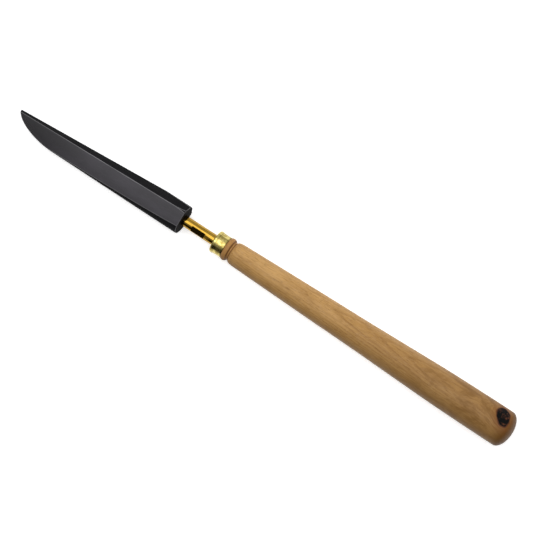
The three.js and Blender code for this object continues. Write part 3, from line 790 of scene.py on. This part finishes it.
def soft_box(name, place, width, length, power):
    """A rectangular lamp that looks at the middle of the floor."""
    lamp = bpy.data.lights.new(name, "AREA")
    lamp.shape = "RECTANGLE"
    lamp.size, lamp.size_y = width, length
    lamp.energy = power
    thing = bpy.data.objects.new(name, lamp)
    bpy.context.scene.collection.objects.link(thing)
    thing.location = place
    thing.rotation_euler = (-thing.location).to_track_quat("-Z", "Y").to_euler()


# how bright the room is by the angle from straight up: plus is the belly side, minus the spine side
ROOM = [(-180, 0.4), (-95, 0.4), (-60, 0.26), (-42, 0.4), (0, 0.6), (15, 0.42), (36, 0.3), (43, 0.012),
        (72, 0.012), (84, 0.1), (100, 0.3), (180, 0.4)]
# beyond the blade the room is at least this bright, from where it starts to where it is full
FAR_END_START, FAR_END_FULL, FAR_END_BRIGHTNESS = -0.26, -0.42, 0.32


def make_room():
    world = bpy.data.worlds.new("soft studio")
    bpy.context.scene.world = world
    world.use_nodes = True
    nodes, links = world.node_tree.nodes, world.node_tree.links
    where = nodes.new("ShaderNodeTexCoord")
    parts = nodes.new("ShaderNodeSeparateXYZ")
    links.new(where.outputs["Generated"], parts.inputs[0])
    flip = nodes.new("ShaderNodeMath")
    flip.operation = "MULTIPLY"
    flip.inputs[1].default_value = -1.0
    links.new(parts.outputs[1], flip.inputs[0])
    angle = nodes.new("ShaderNodeMath")
    angle.operation = "ARCTAN2"
    links.new(flip.outputs[0], angle.inputs[0])
    links.new(parts.outputs[2], angle.inputs[1])
    share = nodes.new("ShaderNodeMapRange")
    share.inputs["From Min"].default_value = -math.pi
    share.inputs["From Max"].default_value = math.pi
    links.new(angle.outputs[0], share.inputs["Value"])
    ramp = nodes.new("ShaderNodeValToRGB")
    while len(ramp.color_ramp.elements) > 1:
        ramp.color_ramp.elements.remove(ramp.color_ramp.elements[0])
    for number, (degrees, brightness) in enumerate(ROOM):
        place = (degrees + 180) / 360
        stop = ramp.color_ramp.elements[0] if number == 0 else ramp.color_ramp.elements.new(place)
        stop.position = place
        stop.color = (brightness, brightness, brightness, 1.0)
    links.new(share.outputs["Result"], ramp.inputs["Fac"])
    far_end = nodes.new("ShaderNodeMapRange")
    far_end.inputs["From Min"].default_value = FAR_END_START
    far_end.inputs["From Max"].default_value = FAR_END_FULL
    far_end.inputs["To Max"].default_value = FAR_END_BRIGHTNESS
    links.new(parts.outputs[0], far_end.inputs["Value"])
    lighter = nodes.new("ShaderNodeMath")
    lighter.operation = "MAXIMUM"
    links.new(ramp.outputs["Color"], lighter.inputs[0])
    links.new(far_end.outputs["Result"], lighter.inputs[1])
    background = nodes["Background"]
    background.inputs["Strength"].default_value = 1.0
    links.new(lighter.outputs[0], background.inputs["Color"])


# how the camera sees the tool: the butt end leans towards it by the tilt, the spine side by the roll,
# and the axis runs down to the right by the slant
TILT = math.radians(10.0)
ROLL = math.radians(5.1)
SLANT = math.radians(33.08)
LENS = 105.0
SENSOR = 36.0
FERRULE_FROM_LENS = (-42.2544, 21.2515, -1288.0)   # to the right, up and behind, in millimetres


def make_camera():
    """Stands off from the ferrule and looks down on the tool, with the tool on the slant."""
    axis = Vector((math.cos(TILT) * math.cos(SLANT), -math.cos(TILT) * math.sin(SLANT), math.sin(TILT)))
    toward = Vector((0, 0, 1))
    facing = (toward - axis * axis.z).normalized()
    sideways = facing.cross(axis).normalized()
    tool_square = facing * math.cos(ROLL) - sideways * math.sin(ROLL)
    tool_spine = facing * math.sin(ROLL) + sideways * math.cos(ROLL)
    seen = Matrix((axis, tool_spine, tool_square)).transposed()
    turned_to = LAY.to_3x3() @ seen.inverted()
    in_view = Vector(FERRULE_FROM_LENS) * MM
    data = bpy.data.cameras.new("camera")
    data.lens = LENS
    data.sensor_width = SENSOR
    data.clip_end = 50.0
    camera = bpy.data.objects.new("camera", data)
    bpy.context.scene.collection.objects.link(camera)
    camera.matrix_world = Matrix.Translation(ferrule_face - turned_to @ in_view) @ turned_to.to_4x4()
    bpy.context.scene.camera = camera


make_floor()
soft_box("overhead softbox", place=(0.0, 0.25, 1.0), width=1.6, length=0.9, power=10.5)
soft_box("spine side softbox", place=(-0.1, 1.3, 0.7), width=1.6, length=0.9, power=2.6)
make_room()
make_camera()
bpy.context.scene.view_settings.view_transform = "Standard"
bpy.context.scene.view_settings.look = "None"
